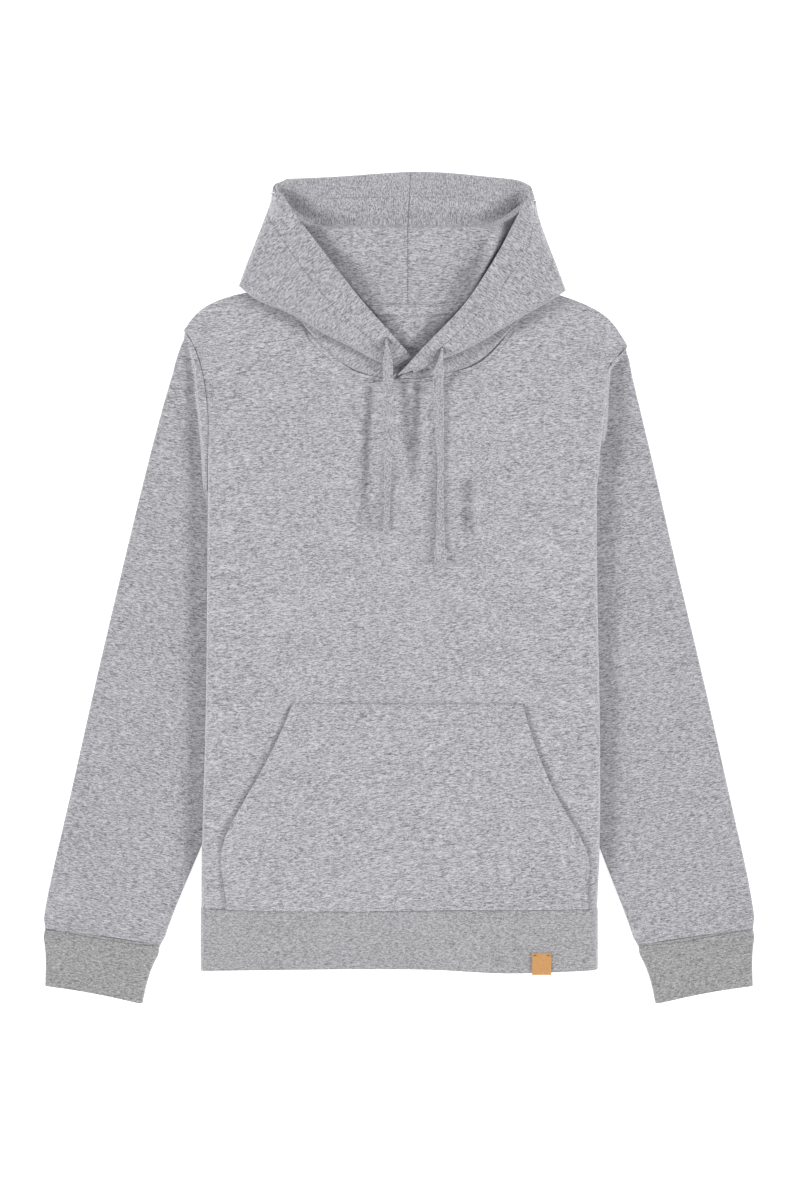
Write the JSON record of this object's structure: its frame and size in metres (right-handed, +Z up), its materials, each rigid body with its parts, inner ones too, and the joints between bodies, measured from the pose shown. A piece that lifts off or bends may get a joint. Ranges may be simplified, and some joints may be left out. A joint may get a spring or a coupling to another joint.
{
  "type": "pullover hoodie",
  "caption": "Grey marl fleece pullover hoodie laid flat on its back, with long sleeves, a kangaroo pocket, an open hood, flat drawcords, rib cuffs and a rib waistband.",
  "frame": {"origin": "centre of the laid-out hoodie's outline, on the surface that it lies on", "axes": "+Y from the hem towards the hood, +X towards the right sleeve as laid out and seen from above, +Z up out of the surface, towards the front of the garment"},
  "size_m": [0.7308, 0.8481, 0.0227],
  "materials": {
    "fleece": "brushed jersey, grey marl",
    "rib": "fine elastic rib, folded double",
    "cord": "flat self-colour tape",
    "cork": "matte washable paper in a cork colour, blank"
  },
  "bodies": {
    "root": {"body_front": "fleece", "body_back": "fleece", "sleeve_left": "fleece", "sleeve_right": "fleece", "hood_left": "fleece", "hood_right": "fleece", "hood_tucked_slack": "fleece", "pocket": "fleece", "neck_tape": "fleece", "cuff_left": "rib", "cuff_right": "rib", "waistband": "rib", "drawcord_left": "cord", "drawcord_right": "cord", "hem_tag": "cork"}
  },
  "joints": []
}
